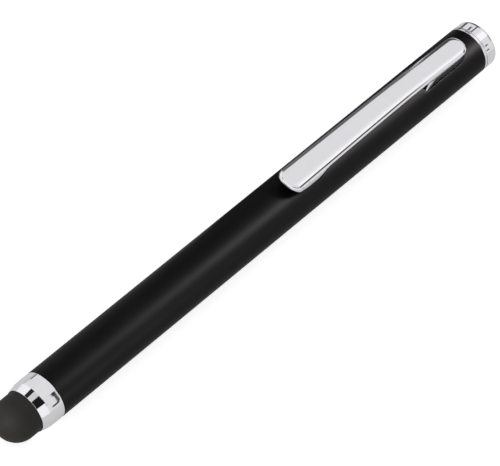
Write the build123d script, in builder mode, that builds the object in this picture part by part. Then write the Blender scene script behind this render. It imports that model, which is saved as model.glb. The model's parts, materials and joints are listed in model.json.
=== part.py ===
"""A capacitive stylus pen, lying along X with its rubber tip at -X and its pocket clip up.

Lengths are millimetres and angles are degrees. The pen's axis runs one barrel radius above the
surface that the barrel lies on, and the origin is under the middle of the pen's length.
"""

import os
from math import asin, cos, degrees, radians, sin, sqrt

from build123d import *

# Fits
fit_clearance = 0.03
running_clearance = 0.05
cut_overrun = 2.0

# Barrel tube and the window under the clip's root
barrel_diameter = 9.0
barrel_length = 105.3
barrel_wall = 0.7
window_width = 4.7
window_corner = 0.3
window_to_rear = 5.3

# Rubber tip, a step smaller than the barrel
tip_step = 0.55
tip_diameter = barrel_diameter - tip_step * 2
tip_straight = 2.0
tip_travel = 1.0
tip_wall = 1.3
tip_bore_diameter = tip_diameter - tip_wall * 2
tip_end_wall = 1.1
tip_flange_length = 0.8
tip_flange_step = 0.15

# Ferrule round the tip's base
ferrule_length = 4.65
ferrule_cone_length = 1.65
ferrule_cone_crown = 0.08
ferrule_lip_length = 1.3
ferrule_lip_wall = 0.12
ferrule_web = 0.7
ferrule_rear_round = 0.12

# Nib holder and the bush that it screws into
holder_flange_gap = 0.55
holder_flange_length = 0.7
holder_sleeve_length = 3.6
holder_edge = 0.25
stud_length = 8.0
bush_wall = 1.34
bush_length = 10.0
bush_edge = 0.3

# End cap, its trim ring and the plug that holds them
trim_ring_length = 0.45
trim_ring_round = 0.1
cap_length = 2.75
cap_round = 0.8
cap_groove_length = 0.14
cap_groove_depth = 0.2
shank_diameter = 4.0
shank_length = 4.4
shank_edge = 0.3
plug_length = 17.0
plug_flat_depth = 2.2
plug_edge = 0.3
plug_bore_spare = 0.1

# Clip sheet: its side line is a front run, a wide bend and a short rear run above the barrel
clip_sheet = 0.4
clip_rim_depth = 0.65
clip_top_round = 0.32
clip_front_run = 21.74
clip_bend_radius = 250.0
clip_rear_run = 3.0
clip_rear_rise = 1.83
clip_front_pitch = 0.85
clip_rear_pitch = 4.0
clip_to_barrel_rear = 3.15
clip_front_width = 4.9
clip_rear_width = 4.4
clip_taper_length = 28.0
clip_front_corner = 1.5

# Belly of the clip's free end
belly_start = 3.0
belly_flat = 3.4
belly_rise = 2.4
belly_depth = 2.1
nose_depth = 0.9

# Ears and hooks at the clip's root
clip_split_to_ear = 0.25
clip_split_gap = 0.04
ear_wall = 0.4
ear_length = 8.3
ear_front_slant = 0.9
ear_front_rise = 1.6
hook_reach = 1.0
hook_clearance = 0.07
hook_chamfer = 0.3

# Radii and stations that follow from the sizes above
barrel_radius = barrel_diameter / 2
bore_radius = barrel_radius - barrel_wall
tip_radius = tip_diameter / 2
tip_bore_radius = tip_bore_diameter / 2
tip_flange_radius = tip_radius + tip_flange_step
lip_bore_radius = tip_radius + running_clearance
cavity_radius = tip_flange_radius + running_clearance
holder_flange_diameter = (cavity_radius - holder_flange_gap) * 2
sleeve_radius = tip_bore_radius - running_clearance
stud_diameter = (bore_radius - bush_wall - fit_clearance * 2) * 2
stud_radius = stud_diameter / 2
shank_radius = shank_diameter / 2
plug_flat_height = barrel_radius - plug_flat_depth

total_length = tip_radius + tip_straight + ferrule_length + barrel_length + trim_ring_length + cap_length
dome_center_x = tip_radius - total_length / 2
ferrule_front_x = dome_center_x + tip_straight
barrel_front_x = ferrule_front_x + ferrule_length
barrel_rear_x = barrel_front_x + barrel_length
cap_front_x = barrel_rear_x + trim_ring_length
cap_rear_x = cap_front_x + cap_length
cone_rear_x = ferrule_front_x + ferrule_cone_length
cavity_front_x = ferrule_front_x + ferrule_lip_length
web_front_x = barrel_front_x - ferrule_web
holder_flange_x = web_front_x - holder_flange_length
tip_base_x = holder_flange_x - tip_travel - running_clearance
tip_flange_x = tip_base_x - tip_flange_length
window_length = ear_length + hook_reach + running_clearance * 2
window_rear_x = barrel_rear_x - window_to_rear
window_front_x = window_rear_x - window_length
ear_foot_x = window_front_x + running_clearance
ear_shoulder_x = ear_foot_x + ear_front_slant
ear_rear_x = ear_foot_x + ear_length
ear_outer = clip_rear_width / 2
wall_inner_height = sqrt(bore_radius**2 - ear_outer**2)
wall_outer_height = sqrt(barrel_radius**2 - ear_outer**2)
clip_rear_x = barrel_rear_x - clip_to_barrel_rear
clip_arc_x = clip_rear_x - clip_rear_width / 2
split_x = ear_foot_x - clip_split_to_ear

# The pen's axis, and the upright plane through it with X along and height across
pen_axis = Axis((0, 0, barrel_radius), (1, 0, 0))
side_plane = Plane(origin=(0, 0, barrel_radius), x_dir=(1, 0, 0), z_dir=(0, -1, 0))
top_plane = Plane.XY.offset(barrel_radius)

os.makedirs("parts", exist_ok=True)


def finish(builder, label):
    """Label a finished piece and write it to its own file."""
    builder.part.label = label
    export_step(builder.part, f"parts/{label}.step")
    print(f"{label}: {builder.part.volume:.2f} cubic mm, {len(builder.part.solids())} solid")


# Rubber tip: a dome on a straight skirt, with a flange that the ferrule keeps in
with BuildPart() as rubber_tip:
    with BuildSketch(side_plane):
        with BuildLine():
            outer_dome = CenterArc((dome_center_x, 0), tip_radius, 90, 90)
            hollow_depth = tip_radius - tip_end_wall
            inner_dome = EllipticalCenterArc(
                (dome_center_x, 0), hollow_depth, tip_bore_radius, start_angle=90, arc_size=90
            )
            Line(outer_dome @ 1, inner_dome @ 1)
            Polyline(
                outer_dome @ 0,
                (tip_flange_x, tip_radius),
                (tip_flange_x, tip_flange_radius),
                (tip_base_x, tip_flange_radius),
                (tip_base_x, tip_bore_radius),
                inner_dome @ 0,
            )
        make_face()
    revolve(axis=pen_axis)
finish(rubber_tip, "rubber_tip")

# Ferrule: a chrome cup, open to the tip, with a web that is clamped to the barrel's end
with BuildPart() as tip_ferrule:
    with BuildSketch(side_plane):
        with BuildLine():
            lip_edge = (ferrule_front_x, lip_bore_radius + ferrule_lip_wall)
            cone_edge = (cone_rear_x, barrel_radius)
            cone_middle = (
                (lip_edge[0] + cone_edge[0]) / 2,
                (lip_edge[1] + cone_edge[1]) / 2 + ferrule_cone_crown,
            )
            ThreePointArc(lip_edge, cone_middle, cone_edge)
            Polyline(
                cone_edge,
                (barrel_front_x, barrel_radius),
                (barrel_front_x, stud_radius + fit_clearance),
                (web_front_x, stud_radius + fit_clearance),
                (web_front_x, cavity_radius),
                (cavity_front_x, cavity_radius),
                (cavity_front_x, lip_bore_radius),
                (ferrule_front_x, lip_bore_radius),
                lip_edge,
            )
        make_face()
    revolve(axis=pen_axis)
    rear_face = tip_ferrule.faces().sort_by(Axis.X)[-1]
    fillet(rear_face.edges().sort_by(SortBy.LENGTH)[-1], ferrule_rear_round)
finish(tip_ferrule, "tip_ferrule")

# Nib holder: a sleeve inside the rubber, a flange against the web and a stud into the bush
with BuildPart() as nib_holder:
    with BuildSketch(side_plane):
        with BuildLine():
            sleeve_front_x = holder_flange_x - holder_sleeve_length
            stud_rear_x = barrel_front_x + stud_length
            Polyline(
                (sleeve_front_x, 0),
                (sleeve_front_x, sleeve_radius - holder_edge),
                (sleeve_front_x + holder_edge, sleeve_radius),
                (holder_flange_x, sleeve_radius),
                (holder_flange_x, holder_flange_diameter / 2),
                (web_front_x, holder_flange_diameter / 2),
                (web_front_x, stud_radius),
                (stud_rear_x - holder_edge, stud_radius),
                (stud_rear_x, stud_radius - holder_edge),
                (stud_rear_x, 0),
                close=True,
            )
        make_face()
    revolve(axis=pen_axis)
finish(nib_holder, "nib_holder")

# Front bush: fixed in the tube, flush with its end
with BuildPart() as front_bush:
    with BuildSketch(side_plane):
        with BuildLine():
            bush_radius = bore_radius - fit_clearance
            bush_rear_x = barrel_front_x + bush_length
            Polyline(
                (barrel_front_x, stud_radius + fit_clearance),
                (barrel_front_x, bush_radius),
                (bush_rear_x - bush_edge, bush_radius),
                (bush_rear_x, bush_radius - bush_edge),
                (bush_rear_x, stud_radius + fit_clearance),
                close=True,
            )
        make_face()
    revolve(axis=pen_axis)
finish(front_bush, "front_bush")

# Barrel: a plain tube with a rounded window in its crown, under the clip's root
with BuildPart() as barrel:
    with BuildSketch(side_plane):
        with BuildLine():
            Polyline(
                (barrel_front_x, bore_radius),
                (barrel_front_x, barrel_radius),
                (barrel_rear_x, barrel_radius),
                (barrel_rear_x, bore_radius),
                close=True,
            )
        make_face()
    revolve(axis=pen_axis)
    with BuildSketch(top_plane):
        with Locations(((window_front_x + window_rear_x) / 2, 0)):
            RectangleRounded(window_length, window_width, window_corner)
    extrude(amount=barrel_radius + cut_overrun, mode=Mode.SUBTRACT)
finish(barrel, "barrel")

# Rear plug: a flat under the clip's hooks, a collar behind its ears and a bore for the cap's shank
plug_front_x = barrel_rear_x - plug_length
shank_front_x = cap_front_x - shank_length
shank_bore_x = shank_front_x - plug_bore_spare
plug_radius = bore_radius - fit_clearance
with BuildPart() as rear_plug:
    with BuildSketch(side_plane):
        with BuildLine():
            Polyline(
                (plug_front_x, 0),
                (plug_front_x, plug_radius - plug_edge),
                (plug_front_x + plug_edge, plug_radius),
                (barrel_rear_x, plug_radius),
                (barrel_rear_x, shank_radius + fit_clearance),
                (shank_bore_x, shank_radius + fit_clearance),
                (shank_bore_x, 0),
                close=True,
            )
        make_face()
    revolve(axis=pen_axis)
    with BuildSketch(side_plane):
        with BuildLine():
            Polyline(
                (plug_front_x - cut_overrun, plug_flat_height),
                (ear_rear_x, plug_flat_height),
                (ear_rear_x, barrel_radius),
                (plug_front_x - cut_overrun, barrel_radius),
                close=True,
            )
        make_face()
    extrude(amount=barrel_radius, both=True, mode=Mode.SUBTRACT)
finish(rear_plug, "rear_plug")

# Trim ring: the thin lip between the barrel's end and the cap
with BuildPart() as trim_ring:
    with BuildSketch(side_plane):
        with BuildLine():
            Polyline(
                (barrel_rear_x, shank_radius + fit_clearance),
                (barrel_rear_x, barrel_radius),
                (cap_front_x, barrel_radius),
                (cap_front_x, shank_radius + fit_clearance),
                close=True,
            )
        make_face()
    revolve(axis=pen_axis)
    fillet(trim_ring.edges().filter_by(GeomType.CIRCLE).sort_by(SortBy.RADIUS)[-2:], trim_ring_round)
finish(trim_ring, "trim_ring")

# End cap: a head with a groove at its front and a rounded rear edge, on a shank
with BuildPart() as end_cap:
    with BuildSketch(side_plane):
        with BuildLine():
            groove_radius = barrel_radius - cap_groove_depth
            head_front_x = cap_front_x + cap_groove_length
            Polyline(
                (shank_front_x, 0),
                (shank_front_x, shank_radius - shank_edge),
                (shank_front_x + shank_edge, shank_radius),
                (cap_front_x, shank_radius),
                (cap_front_x, groove_radius),
                (head_front_x, groove_radius),
                (head_front_x, barrel_radius),
                (cap_rear_x, barrel_radius),
                (cap_rear_x, 0),
                close=True,
            )
        make_face()
    revolve(axis=pen_axis)
    rear_face = end_cap.faces().sort_by(Axis.X)[-1]
    fillet(rear_face.edges(), cap_round)
finish(end_cap, "end_cap")

# Side line of the clip's top face, worked out from its rear end, which stands above the barrel's crown
clip_rear_height = barrel_radius + clip_rear_rise
bend_end = Vector(clip_rear_x, clip_rear_height) - Vector(
    clip_rear_run * cos(radians(clip_rear_pitch)),
    -clip_rear_run * sin(radians(clip_rear_pitch)),
)
bend_center = bend_end - Vector(
    clip_bend_radius * sin(radians(clip_rear_pitch)),
    clip_bend_radius * cos(radians(clip_rear_pitch)),
)
bend_start = bend_center + Vector(
    -clip_bend_radius * sin(radians(clip_front_pitch)),
    clip_bend_radius * cos(radians(clip_front_pitch)),
)
clip_front = bend_start - Vector(
    clip_front_run * cos(radians(clip_front_pitch)),
    clip_front_run * sin(radians(clip_front_pitch)),
)
bend_turn = clip_front_pitch + clip_rear_pitch
clip_crown = bend_center.Y + clip_bend_radius


def clip_top(x):
    """Height of the clip's top face above the pen's axis, on its bend."""
    return bend_center.Y + sqrt(clip_bend_radius**2 - (x - bend_center.X) ** 2)


def clip_side_line(drop):
    """Draw the clip's side line, front to rear, lowered by a drop, and return its two ends."""
    start = clip_front - Vector(0, drop)
    front_run = Line(start, bend_start - Vector(0, drop))
    bend = JernArc(front_run @ 1, front_run % 1, clip_bend_radius, -bend_turn)
    rear_run = Line(bend @ 1, Vector(clip_rear_x, clip_rear_height) - Vector(0, drop))
    return start, rear_run @ 1


def clip_plan_line(inset):
    """Draw the clip's outline seen from above, drawn in by an inset all round."""
    front_x = clip_front.X + inset
    taper_x = clip_front.X + clip_taper_length
    front_half = clip_front_width / 2 - inset
    rear_half = clip_rear_width / 2 - inset
    Polyline((clip_arc_x, rear_half), (taper_x, rear_half), (front_x, front_half))
    Line((front_x, front_half), (front_x, -front_half))
    Polyline((front_x, -front_half), (taper_x, -rear_half), (clip_arc_x, -rear_half))
    ThreePointArc((clip_arc_x, -rear_half), (clip_rear_x - inset, 0), (clip_arc_x, rear_half))


# Hollow of the pressing: everything under the sheet and inside its rim
with BuildPart() as clip_hollow:
    with BuildSketch(side_plane):
        with BuildLine():
            hollow_front, hollow_rear = clip_side_line(clip_sheet)
            Polyline(hollow_rear, (clip_rear_x, 0), (clip_front.X, 0), hollow_front)
        make_face()
    extrude(amount=clip_front_width, both=True)
    with BuildSketch(top_plane) as hollow_plan:
        with BuildLine():
            clip_plan_line(clip_sheet)
        make_face()
        fillet(hollow_plan.vertices().sort_by(Axis.X)[:2], clip_front_corner - clip_sheet)
    extrude(amount=clip_crown + cut_overrun, mode=Mode.INTERSECT)

# Whole pressing: a sheet with a shallow rim, a deep belly at its free end and a skirt round its root
with BuildPart() as clip_pressing:
    with BuildSketch(side_plane):
        with BuildLine():
            clip_side_line(0)
            shoulder_rim = Vector(ear_shoulder_x, clip_top(ear_shoulder_x) - clip_rim_depth)
            Polyline(
                (clip_rear_x, clip_rear_height),
                (clip_rear_x, wall_outer_height),
                (ear_shoulder_x, wall_outer_height),
                shoulder_rim,
            )
            shoulder_pitch = degrees(asin((ear_shoulder_x - bend_center.X) / clip_bend_radius))
            rim_bend = JernArc(
                shoulder_rim,
                (-cos(radians(shoulder_pitch)), sin(radians(shoulder_pitch))),
                clip_bend_radius,
                clip_front_pitch + shoulder_pitch,
            )
            belly_front = clip_front + Vector(belly_start, -belly_depth)
            belly_rear = belly_front + Vector(belly_flat, 0)
            rim_front_x = belly_rear.X + belly_rise
            rim_front = Vector(
                rim_front_x,
                (rim_bend @ 1).Y - (bend_start.X - rim_front_x) * sin(radians(clip_front_pitch)),
            )
            front_run = Line(rim_bend @ 1, rim_front)
            Spline(rim_front, belly_rear, tangents=(front_run % 1, (-1, 0)))
            Line(belly_rear, belly_front)
            nose_low = clip_front - Vector(0, nose_depth)
            Spline(belly_front, nose_low, tangents=((-1, 0), (0, 1)))
            Line(nose_low, clip_front)
        make_face()
    extrude(amount=clip_front_width, both=True)
    with BuildSketch(top_plane) as outer_plan:
        with BuildLine():
            clip_plan_line(0)
        make_face()
        fillet(outer_plan.vertices().sort_by(Axis.X)[:2], clip_front_corner)
    extrude(amount=clip_crown + cut_overrun, mode=Mode.INTERSECT)
    steepest = cos(radians(clip_rear_pitch + bend_turn))
    top_faces = clip_pressing.faces().filter_by(lambda face: face.normal_at().Z > steepest)
    seam_span = (clip_front.X + clip_sheet, clip_rear_x - clip_sheet)
    seams = top_faces.edges().filter_by(Axis.Y).filter_by_position(Axis.X, *seam_span)
    rim_edges = ShapeList(edge for edge in top_faces.edges() if edge not in seams)
    fillet(rim_edges, clip_top_round)
    add(clip_hollow.part, mode=Mode.SUBTRACT)

# Clip arm: the free length, which springs up from the hooks
with BuildPart() as clip_arm:
    add(clip_pressing.part)
    split(bisect_by=Plane.YZ.offset(split_x - clip_split_gap), keep=Keep.BOTTOM)
finish(clip_arm, "clip_arm")

# Clip root: the rear of the pressing, whose skirt sits on the barrel, with two hooked ears in the window
hook_top = wall_inner_height - hook_clearance
ear_top_drop = clip_rim_depth / 2
with BuildPart() as clip_root:
    add(clip_pressing.part)
    split(bisect_by=Plane.YZ.offset(split_x), keep=Keep.TOP)
    with BuildSketch(Plane.YZ.offset(split_x - cut_overrun)):
        with Locations((0, barrel_radius)):
            Circle(barrel_radius + fit_clearance)
    extrude(amount=clip_rear_x - split_x + cut_overrun * 2, mode=Mode.SUBTRACT)
    with BuildSketch(side_plane.offset(ear_outer - ear_wall)):
        with BuildLine():
            Polyline(
                (ear_shoulder_x, clip_top(ear_shoulder_x) - ear_top_drop),
                (ear_shoulder_x, wall_outer_height + ear_front_rise),
                (ear_foot_x, wall_outer_height),
                (ear_foot_x, hook_top),
                (ear_foot_x - hook_reach, hook_top),
                (ear_foot_x - hook_reach + hook_chamfer, plug_flat_height),
                (ear_rear_x, plug_flat_height),
                (ear_rear_x, clip_top(ear_rear_x) - ear_top_drop),
                close=True,
            )
        make_face()
    near_ear = extrude(amount=ear_wall)
    mirror(near_ear, about=Plane.XZ)
finish(clip_root, "clip_root")

# Places that the joints and mounts use, in the pen's frame
print(f"overall length {total_length:.3f}, axis height {barrel_radius:.3f}")
print(f"clip pivot x {split_x:.4f}, z {barrel_radius + clip_top(split_x):.4f}")
print(f"cap rear face x {cap_rear_x:.4f}, clip front x {clip_front.X:.4f}")
print(f"clip belly bottom z {barrel_radius + clip_front.Y - belly_depth:.4f}")
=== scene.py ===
"""Looks of a capacitive stylus pen: finer pieces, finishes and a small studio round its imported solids.

The pen lies along X with its rubber tip at -X and its pocket clip up. Lengths are metres.
"""

import json
import math

import bmesh
import bpy
from mathutils import Matrix, Vector


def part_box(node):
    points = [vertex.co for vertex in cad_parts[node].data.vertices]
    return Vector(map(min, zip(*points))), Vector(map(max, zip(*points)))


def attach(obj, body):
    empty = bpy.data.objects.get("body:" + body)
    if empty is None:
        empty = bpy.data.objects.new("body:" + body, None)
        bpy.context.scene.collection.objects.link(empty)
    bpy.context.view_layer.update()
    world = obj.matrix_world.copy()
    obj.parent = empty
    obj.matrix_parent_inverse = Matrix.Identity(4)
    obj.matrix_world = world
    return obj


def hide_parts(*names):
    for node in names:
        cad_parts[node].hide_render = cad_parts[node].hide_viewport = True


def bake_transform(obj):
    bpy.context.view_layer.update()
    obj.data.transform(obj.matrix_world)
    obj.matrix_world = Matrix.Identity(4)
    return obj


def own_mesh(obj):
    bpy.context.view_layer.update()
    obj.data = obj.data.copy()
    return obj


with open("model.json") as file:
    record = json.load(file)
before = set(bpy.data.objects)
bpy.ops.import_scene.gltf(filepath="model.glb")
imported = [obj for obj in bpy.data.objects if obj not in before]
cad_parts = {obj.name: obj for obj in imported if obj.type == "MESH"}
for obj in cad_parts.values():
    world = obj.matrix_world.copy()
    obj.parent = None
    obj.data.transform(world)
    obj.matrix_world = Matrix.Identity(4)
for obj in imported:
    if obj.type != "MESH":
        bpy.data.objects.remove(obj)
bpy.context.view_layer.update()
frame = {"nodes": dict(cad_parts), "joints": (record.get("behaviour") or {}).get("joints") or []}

bl_info = {
    "name": "Stylus Pen",
    "version": (1, 0, 0),
    "blender": (4, 5, 0),
    "location": "View3D > Sidebar > Stylus",
    "description": "Models the visible pieces of a stylus pen on its fixed frame and lights them",
    "category": "Object",
}

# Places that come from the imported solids
TIP_LOW, TIP_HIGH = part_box("rubber_tip")
FERRULE_LOW, FERRULE_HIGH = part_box("tip_ferrule")
BARREL_LOW, BARREL_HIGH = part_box("barrel")
RING_LOW, RING_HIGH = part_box("trim_ring")
CAP_LOW, CAP_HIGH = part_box("end_cap")
ARM_LOW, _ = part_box("clip_arm")
_, ROOT_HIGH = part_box("clip_root")
CLIP_HINGE = next(joint for joint in frame["joints"] if joint["name"] == "clip_flex")
TIP_SLIDE = next(joint for joint in frame["joints"] if joint["name"] == "tip_press")

QUARTER = math.pi / 2
FULL_TURN = 2 * math.pi
# Distances below which points are one, lie at the same place, or are one in the clip's corners
MERGE_DISTANCE = 1e-6
NEAR = MERGE_DISTANCE * 10
CORNER_MERGE = 4e-5
SMOOTH_ANGLE = math.radians(38)
# Flat run beside a rounded corner of a profile, and the most of a short run that it takes
PROFILE_GUARD = 0.00004
GUARD_SHARE = 0.4
# Steps of a full turn for the rubber, the tube and the chrome
RUBBER_STEPS = 128
TUBE_STEPS = 96
CHROME_STEPS = 160


def length(name, default, description):
    """A length that a user may change."""
    return bpy.props.FloatProperty(
        name=name, description=description, default=default, precision=5, unit="LENGTH", subtype="DISTANCE"
    )


def share(name, default, description):
    """A number from nought to one that a user may change."""
    return bpy.props.FloatProperty(
        name=name, description=description, default=default, min=0, max=1, subtype="FACTOR"
    )


def tint(name, default, description):
    """A colour that a user may change."""
    return bpy.props.FloatVectorProperty(
        name=name, description=description, default=default, size=3, min=0, max=1, subtype="COLOR"
    )


class TipSizes(bpy.types.PropertyGroup):
    """Sizes of the rubber tip."""

    radius: length("Radius", 0.00395, "Radius of the dome and its skirt")
    flange_radius: length("Flange radius", 0.0041, "Radius of the flange that the ferrule keeps in")
    flange_length: length("Flange length", 0.0008, "Length of the flange")
    bore_radius: length("Bore radius", 0.00265, "Radius of the hollow")
    end_wall: length("End wall", 0.0011, "Thickness of the rubber at the dome's end")
    skirt_round: length("Skirt round", 0.0001, "Rounding of the moulded edges")


class FerruleSizes(bpy.types.PropertyGroup):
    """Sizes of the chrome ferrule."""

    lip_radius: length("Lip radius", 0.00412, "Outer radius at the open end")
    lip_bore: length("Lip bore", 0.004, "Inner radius at the open end")
    lip_length: length("Lip length", 0.0013, "Length of the narrow bore")
    cone_length: length("Cone length", 0.00165, "Length of the coned front")
    cavity_radius: length("Cavity radius", 0.00415, "Inner radius round the rubber flange")
    web: length("Web", 0.0007, "Thickness of the rear web")
    stud_bore: length("Stud bore", 0.00243, "Radius of the hole in the web")
    rear_round: length("Rear round", 0.00012, "Rounding of the rear edge")
    crease_round: length("Crease round", 0.0002, "Rounding of the crease between cone and band")
    band_crown: length("Band crown", 0.00003, "How far the rear band stands proud in its middle")


class BarrelSizes(bpy.types.PropertyGroup):
    """Sizes of the barrel tube."""

    radius: length("Radius", 0.004498, "Outer radius of the tube")
    wall: length("Wall", 0.0007, "Thickness of the tube")
    end_round: length("End round", 0.00008, "Rounding of the lacquered ends")
    window_front: length("Window front", 0.04165, "Front end of the clip's window")
    window_rear: length("Window rear", 0.05105, "Rear end of the clip's window")
    window_width: length("Window width", 0.00476, "Width of the clip's window")
    window_corner: length("Window corner", 0.0005, "Corner radius of the clip's window")
    window_edge: length("Window edge", 0.00013, "Soft edge of the lacquer round the window")


class ClipSizes(bpy.types.PropertyGroup):
    """Sizes of the pressed clip."""

    front_width: length("Front width", 0.005, "Width across the rim at the free end")
    rear_width: length("Rear width", 0.0044, "Width across the rim at the root")
    taper_length: length("Taper length", 0.0287, "Length over which the width falls")
    front_corner: length("Front corner", 0.0019, "Corner radius of the free end")
    sheet: length("Sheet", 0.0004, "Thickness of the steel sheet")
    rim_depth: length("Rim depth", 0.00045, "Depth of the pressed rim")
    flare_share: share("Flare", 0.1, "How far the drawn sides lean out for each unit of depth")
    bend_start: length("Bend start", 0.0290596, "Where the straight front run ends")
    bend_end: length("Bend end", 0.0502073, "Where the straight rear run begins")
    bend_radius: length("Bend radius", 0.25, "Radius of the long bend")
    bend_center_x: length("Bend centre along", 0.0327682, "Place of the bend's centre along the pen")
    bend_center_z: length("Bend centre height", -0.238354, "Height of the bend's centre")
    front_height: length("Front height", 0.0112983, "Height of the top face at the free end")
    rear_height: length("Rear height", 0.01083, "Height of the top face at the rear end")
    nose_reach: length("Nose reach", 0.00038, "How far the soft edge of the free end lies ahead of the CAD's")
    nose_sharp_length: length("Nose sharp length", 0.0024, "Length over which the crown is drawn together")
    nose_sharpness: share("Nose sharpness", 0.6, "How far the crown is drawn together at the free end")
    nose_depth: length("Nose depth", 0.00055, "Depth of the free end's front edge")
    belly_depth: length("Belly depth", 0.0023, "Depth of the belly that grips")
    belly_start: length("Belly start", 0.0047, "Where the belly is deepest, from the free end")
    belly_flat: length("Belly flat", 0.0017, "Length of the deepest part")
    belly_rise: length("Belly rise", 0.0025, "Length over which the belly rises to the rim")
    ear_shoulder: length("Ear shoulder", 0.0426, "Where an ear leaves the rim")
    ear_foot: length("Ear foot", 0.0417, "Front of an ear where it enters the barrel")
    ear_rear: length("Ear rear", 0.05, "Rear end of an ear inside the barrel")
    seat_top: length("Seat top", 0.0086, "Height under which the root's sides stand on the barrel")
    seat_gap: length("Seat gap", 0.00003, "Gap between the root's sides and the barrel")
    hook_top: length("Hook top", 0.00748, "Height of a hook's upper edge")
    hook_bottom: length("Hook bottom", 0.0068, "Height of a hook's lower edge")
    hook_reach: length("Hook reach", 0.001, "How far a hook reaches forward")
    edge_round: length("Edge round", 0.00005, "Soft edge of the cut sheet")
    turn_start: length("Turn start", 0.0402, "Where the brim starts to turn down towards the root")
    rim_turn: length("Rim turn", 0.0005, "How far the rim is turned down at the root")
    root_tuck: length("Root tuck", 0.00006, "How far the rim is drawn in on each side of the root")
    root_flare: length("Root flare", 0.00013, "How far each side of the root leans out on its way down")
    brim_turn: length("Brim turn", 0.00022, "How far the brim is turned down at the root")
    ear_round: length("Ear round", 0.00028, "Rounding of an ear's slanted front")


class CapSizes(bpy.types.PropertyGroup):
    """Sizes of the end cap and its trim ring."""

    radius: length("Radius", 0.004498, "Outer radius")
    ring_bore: length("Ring bore", 0.00203, "Inner radius of the trim ring")
    ring_round: length("Ring round", 0.0001, "Rounding of the trim ring")
    groove_length: length("Groove length", 0.00014, "Length of the fine groove")
    groove_depth: length("Groove depth", 0.0002, "Depth of the fine groove")
    groove_round: length("Groove round", 0.00004, "Soft edge of the groove")
    rear_round: length("Rear round", 0.0008, "Rounding of the rear edge")
    shank_radius: length("Shank radius", 0.002, "Radius of the shank in the plug")
    shank_edge: length("Shank edge", 0.0003, "Chamfer of the shank's end")


class Finishes(bpy.types.PropertyGroup):
    """Colours and gloss of the pen's surfaces."""

    rubber: tint("Rubber", (0.0148, 0.0144, 0.0133), "Colour of the moulded rubber")
    rubber_dust: tint("Rubber dust", (0.03, 0.029, 0.027), "Colour of the dust in the rubber's grain")
    lacquer: tint("Lacquer", (0.0014, 0.0012, 0.0013), "Colour of the black lacquer")
    lacquer_worn: tint(
        "Worn lacquer", (0.0026, 0.0023, 0.0024), "Colour of the lacquer where hands have dulled it"
    )
    # Lighter colour of the window's rounded edge: a painted highlight along its rim
    window_edge_highlight: tint("Bare edge", (0.2, 0.19, 0.185), "Colour of the metal that shows at the window's edge")
    chrome: tint("Chrome", (0.82, 0.808, 0.838), "Colour of the chrome plate")
    chrome_warm: tint("Handled chrome", (0.79, 0.772, 0.772), "Colour of chrome under a film of handling")
    brass: tint("Brass", (0.66, 0.46, 0.19), "Colour of the turned brass")
    brass_dull: tint("Dull brass", (0.42, 0.29, 0.13), "Colour of tarnished brass")
    plug: tint("Plug", (0.03, 0.03, 0.032), "Colour of the moulded plug")
    plug_flow: tint("Plug flow", (0.045, 0.045, 0.047), "Colour of the plug's flow marks")
    lacquer_roughness: share("Lacquer roughness", 0.42, "Roughness of the satin lacquer")
    chrome_roughness: share("Chrome roughness", 0.07, "Roughness of the polished chrome")
    rubber_roughness: share("Rubber roughness", 0.66, "Roughness of the rubber")


class StudioSettings(bpy.types.PropertyGroup):
    """Camera, lamps and background."""

    lens: bpy.props.FloatProperty(name="Lens", description="Focal length", default=235.7, unit="CAMERA")
    floor_reach: length("Floor reach", 6.0, "Length of the floor's sides")
    floor_colour: tint("Floor colour", (0.82, 0.82, 0.82), "Colour of the pale floor")
    floor_glow: share("Floor glow", 0.7, "Light added to the floor where it is looked at")
    floor_shine: share("Floor shine", 0.2, "Light added to the floor where chrome shows it")
    sky_fill: share("Sky fill", 0.62, "Strength of the soft light from all round")
    sky_front: bpy.props.FloatProperty(
        name="Sky front", description="Strength of the surroundings that chrome shows elsewhere", default=1.06
    )
    sky_shine: share("Sky shine", 0.86, "Strength of the surroundings that chrome shows towards the cap")
    key_power: bpy.props.FloatProperty(
        name="Key power", description="Power that each soft box takes its share of", default=4.6, unit="POWER"
    )
    flag_distance: length("Flag distance", 0.34, "Distance of the cards from the pen's axis")


def settings():
    """The property groups of the scene, by a short name."""
    scene = bpy.context.scene
    return {
        "tip": scene.stylus_tip,
        "ferrule": scene.stylus_ferrule,
        "barrel": scene.stylus_barrel,
        "clip": scene.stylus_clip,
        "cap": scene.stylus_cap,
        "finish": scene.stylus_finish,
        "studio": scene.stylus_studio,
    }


# Shader maths


class Value:
    """A socket of a material's nodes. Arithmetic on it adds Math nodes."""

    def __init__(self, nodes, socket):
        self.nodes, self.socket = nodes, socket

    def math(self, operation, first, second):
        return self.nodes.add("ShaderNodeMath", {"operation": operation}, {0: first, 1: second})

    def __add__(self, other):
        return self.math("ADD", self, other)

    __radd__ = __add__

    def __sub__(self, other):
        return self.math("SUBTRACT", self, other)

    def __rsub__(self, other):
        return self.math("SUBTRACT", other, self)

    def __mul__(self, other):
        return self.math("MULTIPLY", self, other)

    __rmul__ = __mul__


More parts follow.
